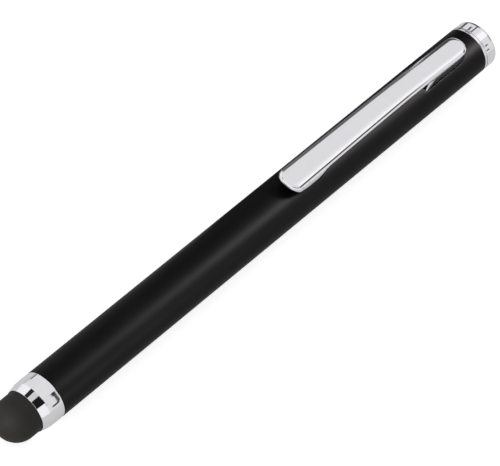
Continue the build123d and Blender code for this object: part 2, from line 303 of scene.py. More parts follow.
class Nodes:
    """The nodes of one material or world."""

    def __init__(self, owner):
        owner.use_nodes = True
        self.tree = owner.node_tree
        self.tree.nodes.clear()

    def add(self, kind, options=None, inputs=None, out=0):
        """Add a node, set its options, then its inputs from numbers, colours or other sockets."""
        node = self.tree.nodes.new(kind)
        for name, option in (options or {}).items():
            if name == "stops":
                ramp = node.color_ramp.elements
                ramp[0].position, ramp[1].position = option[0][0], option[-1][0]
                for place, _ in option[1:-1]:
                    ramp.new(place)
                for element, (_, grey) in zip(ramp, option):
                    element.color = (grey, grey, grey, 1)
            else:
                setattr(node, name, option)
        for name, given in (inputs or {}).items():
            if isinstance(given, Value):
                self.tree.links.new(given.socket, node.inputs[name])
            else:
                node.inputs[name].default_value = given
        return Value(self, node.outputs[out]) if node.outputs else None

    def noise(self, scale, detail=2.0, where=None):
        """Noise of a scale in features per metre, from nought to one."""
        place = where or self.add("ShaderNodeTexCoord", out="Object")
        return self.add("ShaderNodeTexNoise", {}, {"Vector": place, "Scale": scale, "Detail": detail})

    def stretched(self, scale):
        """Object coordinates scaled by a factor for each axis."""
        place = self.add("ShaderNodeTexCoord", out="Object")
        return self.add("ShaderNodeMapping", {}, {"Vector": place, "Scale": scale})

    def ramp(self, value, *stops):
        """A value remapped by stops of place and grey."""
        return self.add("ShaderNodeValToRGB", {"stops": stops}, {"Fac": value})

    def mix(self, mask, first, second):
        """A colour between two colours."""
        return self.add(
            "ShaderNodeMix", {"data_type": "RGBA"}, {"Factor": mask, 6: opaque(first), 7: opaque(second)}, 2
        )

    def bump(self, height, strength, distance):
        """A bumped normal from a height."""
        inputs = {"Height": height, "Strength": strength, "Distance": distance}
        return self.add("ShaderNodeBump", {}, inputs)

    def surface(self, **inputs):
        """Finish the material with one surface shader."""
        named = {
            name.replace("_", " ").title().replace("Ior", "IOR"): given for name, given in inputs.items()
        }
        shader = self.add("ShaderNodeBsdfPrincipled", {}, named)
        self.add("ShaderNodeOutputMaterial", {}, {"Surface": shader})


def opaque(colour):
    """A colour with full alpha, or a socket as it is."""
    return colour if isinstance(colour, Value) else (*colour, 1)


def new_material(name):
    """An empty material and its nodes."""
    material = bpy.data.materials.new(name)
    return material, Nodes(material)


def rubber_material(finish):
    """Matt moulded rubber with a fine grain and a little dust in it."""
    material, nodes = new_material("moulded_rubber")
    grain = nodes.noise(9000, 3)
    mottle = nodes.noise(700, 4)
    dust = nodes.ramp(nodes.noise(2600, 5), (0.55, 0), (0.8, 1)) * mottle
    nodes.surface(
        base_color=nodes.mix(dust * 0.5, finish.rubber, finish.rubber_dust),
        roughness=finish.rubber_roughness + (mottle - 0.5) * 0.16,
        normal=nodes.bump(grain + mottle * 0.6, 0.22, 0.00002),
        specular_ior_level=0.22,
    )
    return material


def lacquer_material(finish):
    """Satin black lacquer with a faint orange peel and patches dulled by handling."""
    material, nodes = new_material("satin_black_lacquer")
    peel = nodes.noise(1500, 2)
    specks = nodes.noise(14000, 2)
    handled = nodes.ramp(nodes.noise(90, 4), (0.42, 0), (0.7, 1))
    nodes.surface(
        base_color=nodes.mix(handled * 0.6, finish.lacquer, finish.lacquer_worn),
        roughness=finish.lacquer_roughness + handled * 0.04 + (specks - 0.5) * 0.06,
        normal=nodes.bump(peel + specks * 0.35, 0.1, 0.000012),
        specular_ior_level=0.07,
    )
    return material


def painted_edge_highlight_material(finish):
    """The cut edge of the tube round the window, painted lighter than the lacquer in patches, with a little
    metal in them: a painted highlight along the window's rim.
    """
    material, nodes = new_material("window_edge_painted_highlight")
    # Patches of a lighter, slightly metallic colour: a painted highlight along the window's rim
    highlight_patches = nodes.ramp(nodes.noise(1800, 3), (0.35, 0), (0.65, 1))
    nodes.surface(
        base_color=nodes.mix(highlight_patches, finish.lacquer_worn, finish.window_edge_highlight),
        metallic=highlight_patches * 0.2,
        roughness=0.46 + highlight_patches * 0.12,
        normal=nodes.bump(nodes.noise(9000, 2), 0.2, 0.00001),
    )
    return material


def chrome_material(finish, name, polish, dullness=1.0):
    """Bright chrome with fine polishing lines, a thin film of handling and tiny pits."""
    material, nodes = new_material(name)
    lines = nodes.noise(1.0, 3, nodes.stretched(polish))
    film = nodes.ramp(nodes.noise(420, 4), (0.45, 0), (0.75, 1))
    pits = nodes.ramp(nodes.noise(8000, 1), (0.72, 0), (0.8, 1))
    nodes.surface(
        base_color=nodes.mix(film * 0.45, finish.chrome, finish.chrome_warm),
        metallic=1.0,
        roughness=dullness * (finish.chrome_roughness + film * 0.05 + lines * 0.03) + pits * 0.1,
        normal=nodes.bump(lines - pits * 0.5, 0.05 * dullness * dullness, 0.000004),
    )
    return material


def brass_material(finish):
    """Turned brass with fine rings from the tool and some tarnish."""
    material, nodes = new_material("turned_brass")
    rings = nodes.noise(1.0, 2, nodes.stretched((16000, 300, 300)))
    tarnish = nodes.ramp(nodes.noise(500, 4), (0.4, 0), (0.7, 1))
    nodes.surface(
        base_color=nodes.mix(tarnish, finish.brass, finish.brass_dull),
        metallic=1.0,
        roughness=0.24 + tarnish * 0.2 + rings * 0.1,
        normal=nodes.bump(rings, 0.3, 0.00001),
    )
    return material


def plug_material(finish):
    """Moulded plastic with faint flow marks."""
    material, nodes = new_material("moulded_plug")
    flow = nodes.noise(1.0, 4, nodes.stretched((300, 1500, 1500)))
    nodes.surface(
        base_color=nodes.mix(flow, finish.plug, finish.plug_flow),
        roughness=0.5 + (flow - 0.5) * 0.2,
        normal=nodes.bump(nodes.noise(7000, 2), 0.15, 0.00002),
    )
    return material


# Modelling


def start_piece(name, place, size=0.001):
    """Add a plane, open it for editing and return its object."""
    bpy.ops.object.select_all(action="DESELECT")
    bpy.ops.mesh.primitive_plane_add(size=size, location=place)
    piece = bpy.context.object
    piece.name = piece.data.name = name
    bpy.ops.object.transform_apply(location=True, rotation=True, scale=True)
    bpy.ops.object.mode_set(mode="EDIT")
    bpy.ops.mesh.select_mode(type="VERT")
    return piece


def select_everything():
    """Select the whole mesh that is open for editing."""
    bpy.ops.mesh.select_all(action="SELECT")


def start_point(name, place):
    """Start a piece from a single point."""
    piece = start_piece(name, place)
    select_everything()
    bpy.ops.mesh.merge(type="CENTER")
    return piece


def activate(piece):
    """Make a piece the only one that is selected."""
    bpy.ops.object.select_all(action="DESELECT")
    piece.select_set(True)
    bpy.context.view_layer.objects.active = piece


def pick(piece, kind, test):
    """Select the points or edges of a mesh whose middle passes a test: kind is VERT or EDGE."""
    bpy.ops.mesh.select_mode(type=kind)
    bpy.ops.mesh.select_all(action="DESELECT")
    mesh = bmesh.from_edit_mesh(piece.data)
    found = 0
    for part in mesh.verts if kind == "VERT" else mesh.edges:
        middle = part.co if kind == "VERT" else (part.verts[0].co + part.verts[1].co) / 2
        if test(part, middle):
            part.select_set(True)
            found += 1
    mesh.select_flush_mode()
    bmesh.update_edit_mesh(piece.data)
    if not found:
        raise RuntimeError(f"{piece.name}: nothing was found to shape")


def shift(x=0.0, y=0.0, z=0.0):
    """Move what is selected."""
    bpy.ops.transform.translate(value=(x, y, z))


def move_point(piece, index, x=0.0, y=0.0, z=0.0):
    """Move one point of a mesh."""
    pick(piece, "VERT", lambda vert, middle: vert.index == index)
    shift(x, y, z)


def stretch(piece, place, along, across):
    """Stretch a flat piece round its place to its size along and across the pen."""
    select_everything()
    flat = piece.dimensions
    bpy.ops.transform.resize(value=(along / flat.x, across / flat.y, 1), center_override=place)


def smooth(part):
    """A share from nought to one that starts and ends gently."""
    return part * part * (3 - 2 * part)


def apply_modifier(piece, kind, **options):
    """Add a modifier with these options and apply it."""
    modifier = piece.modifiers.new(kind.lower(), kind)
    for name, option in options.items():
        setattr(modifier, name, option)
    bpy.context.view_layer.objects.active = piece
    bpy.ops.object.modifier_apply(modifier=modifier.name)


def tidy_mesh(piece):
    """Merge doubles, point all faces outwards and leave edit mode."""
    bpy.ops.mesh.select_mode(type="VERT")
    select_everything()
    bpy.ops.mesh.remove_doubles(threshold=MERGE_DISTANCE)
    select_everything()
    bpy.ops.mesh.normals_make_consistent(inside=False)
    bpy.ops.object.mode_set(mode="OBJECT")


def finish_piece(piece, material, body, slot, *nodes):
    """Shade a piece, give it its material and tie it to the frame."""
    activate(piece)
    bpy.ops.object.shade_smooth_by_angle(angle=SMOOTH_ANGLE)
    if material:
        piece.data.materials.clear()
        piece.data.materials.append(material)
    if body:
        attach(piece, body)
    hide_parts(*nodes)


def rounded(corners, steps=5):
    """Points of a turned profile whose corners of place, radius and rounding are rounded by arcs."""
    spots = [Vector(corner[:2]) for corner in corners]
    runs = [ahead - here for here, ahead in zip(spots, spots[1:])]
    reaches = [0.0] * len(corners)
    for index, (last, ahead) in enumerate(zip(runs, runs[1:]), 1):
        reaches[index] = corners[index][2] / math.tan((-last).angle(ahead) / 2)
    # A guard keeps each straight run flat next to an arc, as far as the run has room for it
    guards = [
        max(0.0, min(PROFILE_GUARD, (run.length - near - far) * GUARD_SHARE))
        for run, near, far in zip(runs, reaches, reaches[1:])
    ]
    points = []
    for index, here in enumerate(spots):
        rounding = corners[index][2]
        if not rounding or index in (0, len(corners) - 1):
            points.append(here)
            continue
        to_last, to_next = -runs[index - 1].normalized(), runs[index].normalized()
        half = to_last.angle(to_next) / 2
        center = here + (to_last + to_next).normalized() * (rounding / math.sin(half))
        first, last = here + to_last * reaches[index], here + to_next * reaches[index]
        sweep = (first - center).angle_signed(last - center)
        points.append(first + to_last * guards[index - 1])
        for step in range(steps + 1):
            points.append(center + Matrix.Rotation(-sweep * step / steps, 2) @ (first - center))
        points.append(last + to_next * guards[index])
    return points


def turned_piece(name, profile, steps):
    """Draw a profile of place and radius point by point and spin it round the pen's axis."""
    axis_height = settings()["barrel"].radius
    first = profile[0]
    piece = start_point(name, (first[0], 0, axis_height + first[1]))
    for here, ahead in zip(profile, profile[1:]):
        move = (ahead[0] - here[0], 0, ahead[1] - here[1])
        bpy.ops.mesh.extrude_vertices_move(TRANSFORM_OT_translate={"value": move})
    select_everything()
    bpy.ops.mesh.spin(steps=steps, angle=FULL_TURN, center=(0, 0, axis_height), axis=(1, 0, 0))
    tidy_mesh(piece)
    return piece


class STYLUS_OT_tip(bpy.types.Operator):
    """Model the rubber dome with its hollow and flange"""

    bl_idname = "stylus.make_tip"
    bl_label = "Rubber tip"

    dome_steps = 28

    def execute(self, context):
        sizes = settings()["tip"]
        apex, base = TIP_LOW.x, TIP_HIGH.x
        center = apex + sizes.radius
        flange = base - sizes.flange_length
        profile = []
        for step in range(self.dome_steps):
            angle = QUARTER * step / self.dome_steps
            profile.append(
                Vector((center - sizes.radius * math.cos(angle), sizes.radius * math.sin(angle)))
            )
        profile += rounded(
            [
                (center, sizes.radius, 0),
                (flange, sizes.radius, sizes.skirt_round),
                (flange, sizes.flange_radius, sizes.skirt_round / 2),
                (base, sizes.flange_radius, sizes.skirt_round),
                (base, sizes.bore_radius, sizes.skirt_round),
                (center, sizes.bore_radius, 0),
            ]
        )
        hollow = sizes.radius - sizes.end_wall
        for step in range(1, self.dome_steps + 1):
            angle = QUARTER * (1 - step / self.dome_steps)
            profile.append(Vector((center - hollow * math.cos(angle), sizes.bore_radius * math.sin(angle))))
        piece = turned_piece("tip_dome", profile, RUBBER_STEPS)
        finish_piece(piece, rubber_material(settings()["finish"]), "tip", "tip_rubber", "rubber_tip")
        travel = TIP_SLIDE["range_m"][1]
        1 - travel / (base - apex)
        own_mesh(piece)
        return {"FINISHED"}


class STYLUS_OT_ferrule(bpy.types.Operator):
    """Model the chrome ferrule with its cone, band and cavity"""

    bl_idname = "stylus.make_ferrule"
    bl_label = "Tip ferrule"

    # Polishing lines per metre along each axis, and how much of their dullness shows
    polish = (26000, 700, 700)
    dullness = 0.5

    def execute(self, context):
        sizes = settings()["ferrule"]
        radius = settings()["barrel"].radius
        front, rear = FERRULE_LOW.x, FERRULE_HIGH.x
        crease, web = front + sizes.cone_length, rear - sizes.web
        cavity = front + sizes.lip_length
        edge = sizes.rear_round / 3
        lip = (sizes.lip_radius + sizes.lip_bore) / 2
        profile = rounded(
            [
                (front, lip, 0),
                (front, sizes.lip_radius, edge),
                (crease, radius - sizes.band_crown, sizes.crease_round),
                ((crease + rear) / 2, radius, 0),
                (rear, radius - sizes.band_crown, sizes.rear_round),
                (rear, sizes.stud_bore, edge),
                (web, sizes.stud_bore, edge),
                (web, sizes.cavity_radius, edge),
                (cavity, sizes.cavity_radius, edge),
                (cavity, sizes.lip_bore, edge),
                (front, sizes.lip_bore, edge),
                (front, lip, 0),
            ]
        )
        piece = turned_piece("ferrule_cup", profile, CHROME_STEPS)
        chrome = chrome_material(
            settings()["finish"], "ferrule_chrome_plate", self.polish, self.dullness
        )
        finish_piece(piece, chrome, "pen", "ferrule_chrome", "tip_ferrule")
        return {"FINISHED"}


class STYLUS_OT_barrel(bpy.types.Operator):
    """Model the lacquered tube and cut the clip's window into it"""

    bl_idname = "stylus.make_barrel"
    bl_label = "Barrel"

    corner_steps = 4
    edge_steps = 3

    def execute(self, context):
        sizes = settings()["barrel"]
        front, rear = BARREL_LOW.x, BARREL_HIGH.x
        bore = sizes.radius - sizes.wall
        middle = (sizes.radius + bore) / 2
        window_margin = sizes.window_edge * 4
        around_window = [sizes.window_front - window_margin, sizes.window_rear + window_margin]
        profile = rounded(
            [
                (front, middle, 0),
                (front, sizes.radius, sizes.end_round),
                *((place, sizes.radius, 0) for place in around_window),
                (rear, sizes.radius, sizes.end_round),
                (rear, bore, sizes.end_round),
                *((place, bore, 0) for place in reversed(around_window)),
                (front, bore, sizes.end_round),
                (front, middle, 0),
            ]
        )
        piece = turned_piece("barrel_tube", profile, TUBE_STEPS)
        cutter = self.window_cutter(sizes)
        apply_modifier(piece, "BOOLEAN", operation="DIFFERENCE", object=cutter, solver="EXACT")
        bpy.data.objects.remove(cutter)
        finish = settings()["finish"]
        piece.data.materials.clear()
        # The second material paints a highlight on the window's rounded edge
        for material in (lacquer_material(finish), painted_edge_highlight_material(finish)):
            piece.data.materials.append(material)
        self.soften_window(piece, sizes)
        finish_piece(piece, None, "pen", "barrel_lacquer", "barrel")
        return {"FINISHED"}

    def window_cutter(self, sizes):
        """A rounded block through the crown of the tube."""
        span = sizes.window_rear - sizes.window_front
        middle = (sizes.window_rear + sizes.window_front) / 2
        cutter = start_piece("window_cutter", (middle, 0, sizes.radius))
        stretch(cutter, (middle, 0, sizes.radius), span, sizes.window_width)
        bpy.ops.mesh.extrude_region_move(TRANSFORM_OT_translate={"value": (0, 0, sizes.radius * 2)})
        pick(cutter, "EDGE", lambda edge, _: abs(edge.verts[0].co.z - edge.verts[1].co.z) > sizes.radius)
        bpy.ops.mesh.bevel(offset=sizes.window_corner, segments=self.corner_steps, affect="EDGES")
        tidy_mesh(cutter)
        return cutter

    def soften_window(self, piece, sizes):
        """Bevel the outer edge of the window, where the lacquer is rounded off."""
        activate(piece)
        bpy.ops.object.mode_set(mode="EDIT")
        axis = Vector((0, sizes.radius))
        near = sizes.window_edge / 4

        def on_rim(edge, middle):
            inside = sizes.window_front - near < middle.x < sizes.window_rear + near
            crown = middle.z > sizes.radius and abs(middle.y) < sizes.window_width / 2 + near
            outer = all(abs((vert.co.yz - axis).length - sizes.radius) < near for vert in edge.verts)
            return inside and crown and outer and edge.calc_face_angle(0) > SMOOTH_ANGLE

        pick(piece, "EDGE", on_rim)
        # The bevel takes the barrel's second material, whose lighter colour is a painted highlight along the
        # window's rim
        bpy.ops.mesh.bevel(
            offset=sizes.window_edge, segments=self.edge_steps, affect="EDGES", clamp_overlap=True, material=1
        )
        bpy.ops.object.mode_set(mode="OBJECT")


class STYLUS_OT_clip(bpy.types.Operator):
    """Press the clip from a strip: its crowned face, its belly, its ears and its hooks"""

    bl_idname = "stylus.make_clip"
    bl_label = "Pocket clip"

    # Rings from the rim to the flat of the face: how far each lies further in and up, as shares
    crown_rings = (
        (0.036, 0.022), (0.043, 0.245), (0.143, 0.355), (0.128, 0.2),
        (0.143, 0.122), (0.207, 0.044), (0.3, 0.012),
    )
    crown_width = 0.0014
    # Longest steps of the strip in its straight run and in its bend
    run_step = 0.0025
    bend_step = 0.001
    # Steps of the strip's corners, the ears' slants and the cut edges, which turn by more than an angle
    corner_steps = 12
    slant_steps = 4
    edge_steps = 2
    edge_angle = math.radians(50)
    polish = (700, 20000, 700)
    # Levels of the root's sides, as shares of the way from the rim down to the barrel
    side_levels = (0.35, 0.7, 1.0)

    def execute(self, context):
        sizes = settings()["clip"]
        front, rear = ARM_LOW.x - sizes.nose_reach, ROOT_HIGH.x
        piece = self.strip(sizes, front, rear)
        self.press_crown(piece, sizes)
        self.sharpen_nose(piece, sizes, front)
        self.draw_belly(piece, sizes, front)
        self.turn_brim(piece, sizes)
        slant = self.draw_sides(piece, sizes)
        self.draw_ears(piece, sizes)
        tidy_mesh(piece)
        apply_modifier(piece, "SOLIDIFY", thickness=sizes.sheet, offset=-1, use_even_offset=True)
        self.round_slant(piece, sizes, slant)
        apply_modifier(
            piece, "BEVEL", width=sizes.edge_round, segments=self.edge_steps, limit_method="ANGLE",
            angle_limit=self.edge_angle, use_clamp_overlap=True,
        )
        chrome = chrome_material(settings()["finish"], "clip_chrome_plate", self.polish)
        finish_piece(piece, chrome, None, "clip_chrome", "clip_arm", "clip_root")
        pivot = CLIP_HINGE["pos_m"]
        pivot[0] - 0.0115
        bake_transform(piece)
        return {"FINISHED"}

    def face_height(self, sizes, front, rear, x):
        """Height of the clip's top face at a place along the pen."""

        def bend(place):
            return math.sqrt(sizes.bend_radius**2 - (place - sizes.bend_center_x) ** 2) + sizes.bend_center_z

        if x < sizes.bend_start:
            climb = bend(sizes.bend_start) - sizes.front_height
            return sizes.front_height + climb * (x - front) / (sizes.bend_start - front)
        if x > sizes.bend_end:
            fall = bend(sizes.bend_end) - sizes.rear_height
            return sizes.rear_height + fall * (rear - x) / (rear - sizes.bend_end)
        return bend(x)

    def half_width(self, sizes, front, x):
        """Half of the clip's width at a place along the pen."""
        taper = min(1.0, (x - front) / sizes.taper_length)
        return (sizes.front_width + (sizes.rear_width - sizes.front_width) * taper) / 2

    def stations(self, sizes, front, rear):
        """Places along the pen at which the strip has an edge across it."""
        corner_end, belly_front = front + sizes.front_corner, front + sizes.belly_start
        belly_rear = belly_front + sizes.belly_flat
        belly_end = belly_rear + sizes.belly_rise
        marks = sorted({
            front, corner_end, belly_front, belly_rear, belly_end, sizes.bend_start,
            front + sizes.taper_length, sizes.ear_shoulder, sizes.ear_rear, rear - sizes.rear_width / 2, rear,
        })
        found = [front]
        for here, ahead in zip(marks, marks[1:]):
            wish = self.bend_step
            if here >= belly_end and ahead <= sizes.bend_start:
                wish = self.run_step
            elif ahead <= belly_end:
                wish = self.bend_step / 2
            rounded_end = here < corner_end or ahead == rear
            count = 1 if rounded_end else max(1, round((ahead - here) / wish))
            found += [here + (ahead - here) * step / count for step in range(1, count + 1)]
        return found

    def strip(self, sizes, front, rear):
        """Draw the strip at the level of its rim, with rounded ends."""
        places = self.stations(sizes, front, rear)
        heights = [self.face_height(sizes, front, rear, x) - sizes.rim_depth for x in places]
        halves = [self.half_width(sizes, front, x) for x in places]
        piece = start_piece("clip_pressing", (front, 0, heights[0]))
        flat = piece.dimensions.x / 2
        pick(piece, "VERT", lambda vert, middle: middle.x < front)
        shift(x=flat)
        pick(piece, "VERT", lambda vert, middle: middle.x > front + flat / 2)
        shift(x=places[1] - front - flat, z=heights[1] - heights[0])
        for index in (0, 1):
            pick(piece, "VERT", lambda vert, middle: abs(middle.x - places[index]) < MERGE_DISTANCE)
            bpy.ops.transform.resize(
                value=(1, halves[index] / flat, 1), center_override=(places[index], 0, heights[index])
            )
        pick(piece, "EDGE", lambda edge, middle: abs(middle.x - places[1]) < MERGE_DISTANCE)
        for index in range(1, len(places) - 1):
            move = (places[index + 1] - places[index], 0, heights[index + 1] - heights[index])
            bpy.ops.mesh.extrude_edges_move(TRANSFORM_OT_translate={"value": move})
            bpy.ops.transform.resize(
                value=(1, halves[index + 1] / halves[index], 1),
                center_override=(places[index + 1], 0, heights[index + 1]),
            )
        self.round_corners(piece, front, sizes.front_corner)
        self.round_corners(piece, rear, sizes.rear_width / 2 - MERGE_DISTANCE)
        select_everything()
        bpy.ops.mesh.remove_doubles(threshold=CORNER_MERGE)
        return piece

    def round_corners(self, piece, place, radius):
        """Round the two corners of the strip at one of its ends."""
        pick(piece, "VERT", lambda vert, middle: abs(middle.x - place) < MERGE_DISTANCE)
        bpy.ops.mesh.bevel(
            offset=radius, offset_type="OFFSET", segments=self.corner_steps, profile=0.5, affect="VERTICES"
        )

    def press_crown(self, piece, sizes):
        """Raise the face from its rim by rings that grow flatter towards the middle."""
        bpy.ops.mesh.select_mode(type="FACE")
        select_everything()
        bpy.ops.mesh.normals_make_consistent(inside=False)
        mesh = bmesh.from_edit_mesh(piece.data)
        if sum(face.normal.z for face in mesh.faces) < 0:
            bpy.ops.mesh.flip_normals()
        for inward, upward in self.crown_rings:
            bpy.ops.mesh.inset(
                thickness=inward * self.crown_width, depth=upward * sizes.rim_depth,
                use_boundary=True, use_even_offset=True,
            )

    def sharpen_nose(self, piece, sizes, front):
        """Draw the crown's rings together at the free end, where the face falls off faster."""
        mesh = bmesh.from_edit_mesh(piece.data)
        half = sizes.front_width / 2
        places = {}
        for vert in mesh.verts:
            inside = max(0.0, abs(vert.co.y) - half + sizes.front_corner)
            edge = front + sizes.front_corner - math.sqrt(max(0.0, sizes.front_corner**2 - inside**2))
            away = (vert.co.x - edge) / sizes.nose_sharp_length
            if 0 < away < 1 and not vert.is_boundary:
                places[vert.index] = away
        for index, away in places.items():
            ease = 1 - smooth(away)
            move_point(piece, index, x=-sizes.nose_sharpness * ease * away * sizes.nose_sharp_length)

    def draw_belly(self, piece, sizes, front):
        """Draw the rim down round the free end, deepest where the clip grips."""
        belly_front = front + sizes.belly_start
        belly_rear = belly_front + sizes.belly_flat
        end = belly_rear + sizes.belly_rise

        def drop(x):
            if x >= end:
                return 0.0
            full, nose = sizes.belly_depth - sizes.rim_depth, sizes.nose_depth - sizes.rim_depth
            if x > belly_rear:
                return full * smooth((end - x) / sizes.belly_rise)
            if x < belly_front:
                ease = (belly_front - x) / sizes.belly_start
                return full - (full - nose) * ease * ease * (2 - ease)
            return full

        pick(piece, "EDGE", lambda edge, middle: edge.is_boundary and middle.x < end)
        bpy.ops.mesh.extrude_edges_move(TRANSFORM_OT_translate={"value": (0, 0, 0)})
        mesh = bmesh.from_edit_mesh(piece.data)
        places = sorted({round(vert.co.x, 6) for vert in mesh.verts if vert.select})
        low = {vert.index for vert in mesh.verts if vert.select}
        for place in places:
            pick(
                piece, "VERT",
                lambda vert, middle: vert.index in low and abs(middle.x - place) < MERGE_DISTANCE,
            )
            shift(z=-drop(place))
            spread = 1 + sizes.flare_share * drop(place) / self.half_width(sizes, front, place)
            bpy.ops.transform.resize(value=(1, spread, 1), center_override=(place, 0, 0))

    def turn_brim(self, piece, sizes):
        """Turn the brim down round the root, so that its shoulder runs on into the sides."""
        mesh = bmesh.from_edit_mesh(piece.data)
        rim = {vert.index for vert in mesh.verts if vert.is_boundary and vert.co.x > sizes.turn_start}
        brim = {
            edge.other_vert(vert).index for vert in mesh.verts if vert.index in rim
            for edge in vert.link_edges if not edge.other_vert(vert).is_boundary
        }
        places = {vert.index: vert.co.copy() for vert in mesh.verts if vert.index in rim | brim}
        for ring, depth, tuck in (
            (rim, sizes.rim_turn, sizes.root_tuck), (brim, sizes.brim_turn, sizes.root_tuck / 2),
        ):
            for index in ring:
                place = places[index]
                turned = (place.x - sizes.turn_start) / (sizes.ear_shoulder - sizes.turn_start)
                ease = smooth(min(1.0, turned))
                across = -tuck * ease * place.y / (sizes.rear_width / 2)
                move_point(piece, index, y=across, z=-depth * ease)

    def draw_sides(self, piece, sizes):
        """Draw the rim down round the root until it sits on the barrel, and slant the front of each side."""
        radius = settings()["barrel"].radius
        half = sizes.rear_width / 2 - sizes.root_tuck

        def at_front(place):
            return abs(place.x - sizes.ear_shoulder) < MERGE_DISTANCE

        def settle(rim, level):
            """Where a point of the rim lies at one level of the sides."""
            across = rim.y * (1 + sizes.root_flare / half)
            seat = radius + math.sqrt(radius**2 - across**2) + sizes.seat_gap
            lean = (sizes.ear_foot - sizes.ear_shoulder) * level if at_front(rim) else 0
            return Vector((rim.x + lean, rim.y + (across - rim.y) * level, rim.z + (seat - rim.z) * level))

        pick(piece, "EDGE", lambda edge, middle: edge.is_boundary and middle.x > sizes.ear_shoulder)
        mesh = bmesh.from_edit_mesh(piece.data)
        rims = {vert.co.copy().freeze(): vert.co.copy() for vert in mesh.verts if vert.select}
        slant = [rim for rim in rims if at_front(rim)]
        for level in self.side_levels:
            places = self.pull_edges(piece, {place: settle(rim, level) for place, rim in rims.items()})
            rims = {places[place].freeze(): rim for place, rim in rims.items()}
            slant += [place for place, rim in rims.items() if at_front(rim)]
        return slant

    def pull_edges(self, piece, targets):
        """Extrude the selected edges, move each new point to its target and give the places reached."""
        bpy.ops.mesh.extrude_edges_move(TRANSFORM_OT_translate={"value": (0, 0, 0)})
        mesh = bmesh.from_edit_mesh(piece.data)
        new = {vert.index: vert.co.copy().freeze() for vert in mesh.verts if vert.select}
        for index, place in new.items():
            move_point(piece, index, *(targets[place] - place))
        pick(piece, "EDGE", lambda edge, middle: all(vert.index in new for vert in edge.verts))
        mesh = bmesh.from_edit_mesh(piece.data)
        mesh.verts.ensure_lookup_table()
        return {place: mesh.verts[index].co.copy() for index, place in new.items()}

    def draw_ears(self, piece, sizes):
        """Draw two ears from the sides down into the barrel's window and turn their hooks forward."""
        outer = sizes.rear_width / 2 - sizes.root_tuck + sizes.root_flare

        def foot(edge, middle):
            level = abs(edge.verts[0].co.z - edge.verts[1].co.z) < NEAR
            along = middle.x < sizes.ear_rear and middle.z < sizes.seat_top
            return edge.is_boundary and level and along and abs(abs(middle.y) - outer) < NEAR

        pick(piece, "EDGE", foot)
        for height in (sizes.hook_top, sizes.hook_bottom):
            mesh = bmesh.from_edit_mesh(piece.data)
            places = [vert.co.copy().freeze() for vert in mesh.verts if vert.select]
            self.pull_edges(piece, {place: Vector((place.x, place.y, height)) for place in places})
        pick(
            piece, "EDGE",
            lambda edge, middle: edge.is_boundary and abs(middle.x - sizes.ear_foot) < NEAR
            and middle.z < sizes.hook_top,
        )
        bpy.ops.mesh.extrude_edges_move(TRANSFORM_OT_translate={"value": (-sizes.hook_reach, 0, 0)})

    def round_slant(self, piece, sizes, slant):
        """Round the outer edge of each ear's slanted front."""
        bpy.ops.object.mode_set(mode="EDIT")

        def on_slant(edge, middle):
            return all(any((vert.co - place).length < NEAR for place in slant) for vert in edge.verts)

        pick(piece, "EDGE", on_slant)
        bpy.ops.mesh.bevel(
            offset=sizes.ear_round, segments=self.slant_steps, affect="EDGES", clamp_overlap=True
        )
        bpy.ops.object.mode_set(mode="OBJECT")


class STYLUS_OT_cap(bpy.types.Operator):
    """Model the trim ring and the end cap with its groove and rounded rear"""

    bl_idname = "stylus.make_cap"
    bl_label = "End cap and trim ring"

    # Polishing lines per metre along each axis, and how much of their dullness shows
    polish = (24000, 700, 700)
    dullness = 0.2
    corner_steps = 8

    def execute(self, context):
        sizes = settings()["cap"]
        chrome = chrome_material(settings()["finish"], "cap_chrome_plate", self.polish, self.dullness)
        middle = (sizes.radius + sizes.ring_bore) / 2
        edge = sizes.ring_round / 3
        ring = turned_piece(
            "trim_lip",
            rounded(
                [
                    (RING_LOW.x, middle, 0),
                    (RING_LOW.x, sizes.radius, sizes.ring_round),
                    (RING_HIGH.x, sizes.radius, sizes.ring_round),
                    (RING_HIGH.x, sizes.ring_bore, edge),
                    (RING_LOW.x, sizes.ring_bore, edge),
                    (RING_LOW.x, middle, 0),
                ]
            ),
            CHROME_STEPS,
        )
        finish_piece(ring, chrome, "pen", "cap_chrome", "trim_ring")
        groove = sizes.radius - sizes.groove_depth
        head = RING_HIGH.x + sizes.groove_length
        cap = turned_piece(
            "cap_head",
            rounded(
                [
                    (CAP_LOW.x, 0, 0),
                    (CAP_LOW.x, sizes.shank_radius - sizes.shank_edge, sizes.groove_round),
                    (CAP_LOW.x + sizes.shank_edge, sizes.shank_radius, sizes.groove_round),
                    (RING_HIGH.x, sizes.shank_radius, sizes.groove_round),
                    (RING_HIGH.x, groove, sizes.groove_round),
                    (head, groove, 0),
                    (head, sizes.radius, sizes.groove_round),
                    (CAP_HIGH.x, sizes.radius, sizes.rear_round),
                    (CAP_HIGH.x, 0, 0),
                ],
                self.corner_steps,
            ),
            CHROME_STEPS,
        )
        finish_piece(cap, chrome, "pen", "cap_chrome", "end_cap")
        return {"FINISHED"}


class STYLUS_OT_inner(bpy.types.Operator):
    """Give the hidden brass and plastic pieces their finishes"""

    bl_idname = "stylus.finish_inner"
    bl_label = "Inner pieces"

    def execute(self, context):
        finish = settings()["finish"]
        brass, plug = brass_material(finish), plug_material(finish)
        for name, material in (("nib_holder", brass), ("front_bush", brass), ("rear_plug", plug)):
            node = frame["nodes"][name]
            node.data.materials.clear()
            node.data.materials.append(material)
        return {"FINISHED"}


